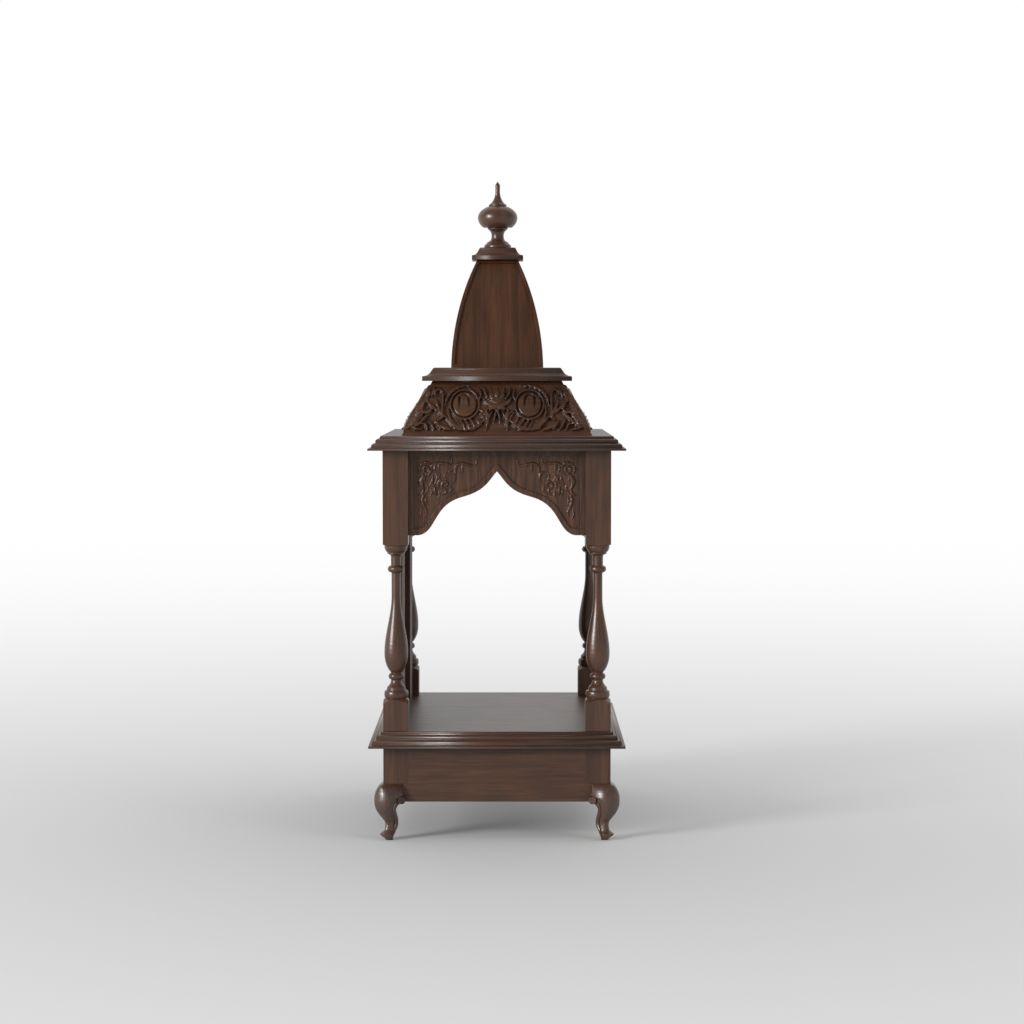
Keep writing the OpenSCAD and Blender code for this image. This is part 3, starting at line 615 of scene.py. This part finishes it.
def arch_relief(side, turn, material):
    """Carved vines in the two upper corners of one arch board."""
    half, out, _, top = face_of(side, turn)
    wider = half - DRAWN_ARCH_HALF
    across, down = np.meshgrid(np.arange(*ARCH_ACROSS, ARCH_SPACING), np.arange(*ARCH_DOWN, ARCH_SPACING))
    height = soften(carve(across, down, ARCH_STROKES, ARCH_UNDER, ARCH_UNDER))
    quads = grid_faces(np.arange(across.size).reshape(across.shape).T)
    kept = quads[(height.ravel()[quads] > 0).any(1)]
    used, faces = np.unique(kept, return_inverse=True)
    faces = faces.reshape(-1, 4)
    right = np.stack([across.ravel()[used] + wider,
                      ARCH_FIELD - out - height.ravel()[used],
                      top - down.ravel()[used]], -1)
    both = np.vstack([right, right * (-1, 1, 1)])
    all_faces = [*faces.tolist(), *(faces[:, ::-1] + len(used)).tolist()]
    carved_piece(side, turn, both, all_faces, material)


def carve_temple():
    skirt_wood = {0: bpy.data.materials["carved_crosswise"], 90: bpy.data.materials["carved_lengthwise"]}
    for side, turn in (("front", 0), ("right", 90), ("rear", 180), ("left", 270)):
        skirt_relief(side + "_roof_skirt", turn, skirt_wood[turn % 180])
        arch_relief(side + "_arch", turn, bpy.data.materials["arch_grain"])


# ---------------------------------------------------------------- studio
LIT_MIDDLE = (0, 0, 0.6)            # where the lamps point, in metres
KEY_PLACE = (-7.88, -6.16, 3.00)
KEY_SIZE = (2.8, 3.4)
KEY_POWER = 1000                    # watts
FILL_PLACE = (7.88, -6.16, 3.00)    # it isn't seen in a gloss
FILL_SIZE = (3.6, 3.6)
FILL_POWER = 200                    # watts

FLOOR_RADIUS = 60                   # metres
FLOOR_COLOUR = 0.51                 # of the lit floor, as a grey
FLOOR_GREYEST = (0.0, -0.5, 0.0)    # where it keeps most of its shadow
FLOOR_WHITE = 0.015                 # share of plain white there
WHITER = (0.26, 0.036)              # how fast the floor whitens with the distance and with its square
MIRRORED_FLOOR = (-3.0, -0.8)       # across here, front to back, it turns from dim to white in a gloss
MIRRORED_DIM = 0.40

AMBIENT_LOW = 0.17                  # light of the room from the sides and below
AMBIENT_HIGH = 1.08                 # and from straight above
AMBIENT_RIGHT = 0.9                 # what its right side adds
ROOM_BLEND = (0.05, 0.45)           # share of a direction over which the room in a gloss changes
ROOM_AHEAD = (0.45, 0.20)           # light of the room ahead in a gloss, level, and upward or downward


def soft_box(name, place, size, power, mirrored=True):
    data = bpy.data.lights.new(name, "AREA")
    data.shape = "RECTANGLE"
    data.size, data.size_y = size
    data.energy = power
    lamp = bpy.data.objects.new(name, data)
    lamp.location = place
    lamp.rotation_euler = (Vector(LIT_MIDDLE) - Vector(place)).to_track_quat("-Z", "Y").to_euler()
    lamp.visible_glossy = mirrored
    bpy.context.scene.collection.objects.link(lamp)


def make_floor():
    """A pale floor that keeps the shadow near the temple and goes to white away from it."""
    material, tree = new_material("floor")
    place = add(tree, "ShaderNodeTexCoord").outputs["Object"]
    rays = add(tree, "ShaderNodeLightPath").outputs
    seen = math_node(tree, "MAXIMUM", rays["Is Camera Ray"], rays["Is Glossy Ray"])
    seen = math_node(tree, "MAXIMUM", seen, rays["Is Transmission Ray"])

    off = vector_node(tree, "SUBTRACT", place, FLOOR_GREYEST).outputs[0]
    far = vector_node(tree, "LENGTH", off).outputs["Value"]
    fade = math_node(tree, "ADD", product(tree, far, WHITER[0]), product(tree, far, far, WHITER[1]))
    grey = math_node(tree, "POWER", math.e, product(tree, fade, -1.0))
    white = math_node(tree, "SUBTRACT", 1.0, product(tree, grey, 1 - FLOOR_WHITE))

    mirrored = span(tree, parts_of(tree, place)["Y"], *MIRRORED_FLOOR, MIRRORED_DIM, 1.0)
    strength = add(tree, "ShaderNodeMix", {0: rays["Is Glossy Ray"], 2: 1.0, 3: mirrored}).outputs[0]
    plain = add(tree, "ShaderNodeBsdfDiffuse", {"Color": (FLOOR_COLOUR, FLOOR_COLOUR, FLOOR_COLOUR, 1)})
    glow = add(tree, "ShaderNodeEmission", {"Color": (1, 1, 1, 1), "Strength": strength})
    mixed = add(tree, "ShaderNodeMixShader", {0: product(tree, seen, white),
                                              1: plain.outputs[0], 2: glow.outputs[0]})
    add(tree, "ShaderNodeOutputMaterial", {"Surface": mixed.outputs[0]})

    bpy.ops.mesh.primitive_circle_add(vertices=96, radius=FLOOR_RADIUS, fill_type="NGON", location=(0, 0, 0))
    floor = bpy.context.object
    floor.name = "floor"
    floor.data.materials.append(material)


def make_world():
    """White to the eye, a plain room to diffuse light, and white behind and dim ahead to a gloss."""
    world = bpy.data.worlds.new("studio")
    bpy.context.scene.world = world
    world.use_nodes = True
    tree = world.node_tree
    tree.nodes.clear()
    rays = add(tree, "ShaderNodeLightPath").outputs
    toward = parts_of(tree, add(tree, "ShaderNodeTexCoord").outputs["Generated"])

    overhead = math_node(tree, "POWER", math_node(tree, "MAXIMUM", toward["Z"], 0.0), 2.0)
    rightward = math_node(tree, "POWER", math_node(tree, "MAXIMUM", toward["X"], 0.0), 2.0)
    ambient = math_node(tree, "ADD", span(tree, overhead, 0.0, 1.0, AMBIENT_LOW, AMBIENT_HIGH),
                        product(tree, rightward, AMBIENT_RIGHT))
    ahead = span(tree, math_node(tree, "ABSOLUTE", toward["Z"]), *ROOM_BLEND, *ROOM_AHEAD)
    behind = span(tree, toward["Y"], *ROOM_BLEND, 0.0, 1.0)
    gloss = add(tree, "ShaderNodeMix", {0: behind, 2: ahead, 3: 1.0}).outputs[0]
    strength = add(tree, "ShaderNodeMix", {0: rays["Is Glossy Ray"], 2: ambient, 3: gloss}).outputs[0]

    seen = math_node(tree, "MAXIMUM", rays["Is Camera Ray"], rays["Is Transmission Ray"])
    room = add(tree, "ShaderNodeBackground", {"Color": (1, 1, 1, 1), "Strength": strength})
    white = add(tree, "ShaderNodeBackground", {"Color": (1, 1, 1, 1), "Strength": 1.0})
    mixed = add(tree, "ShaderNodeMixShader", {0: seen, 1: room.outputs[0], 2: white.outputs[0]})
    add(tree, "ShaderNodeOutputWorld", {"Surface": mixed.outputs[0]})


make_camera()
dress_flat_boards()
dress_carved_boards()
dress_turned_and_shaped()
dress_tower()
carve_temple()
make_floor()
make_world()
soft_box("key", KEY_PLACE, KEY_SIZE, KEY_POWER)
soft_box("fill", FILL_PLACE, FILL_SIZE, FILL_POWER, mirrored=False)
bpy.context.scene.view_settings.view_transform = "Standard"
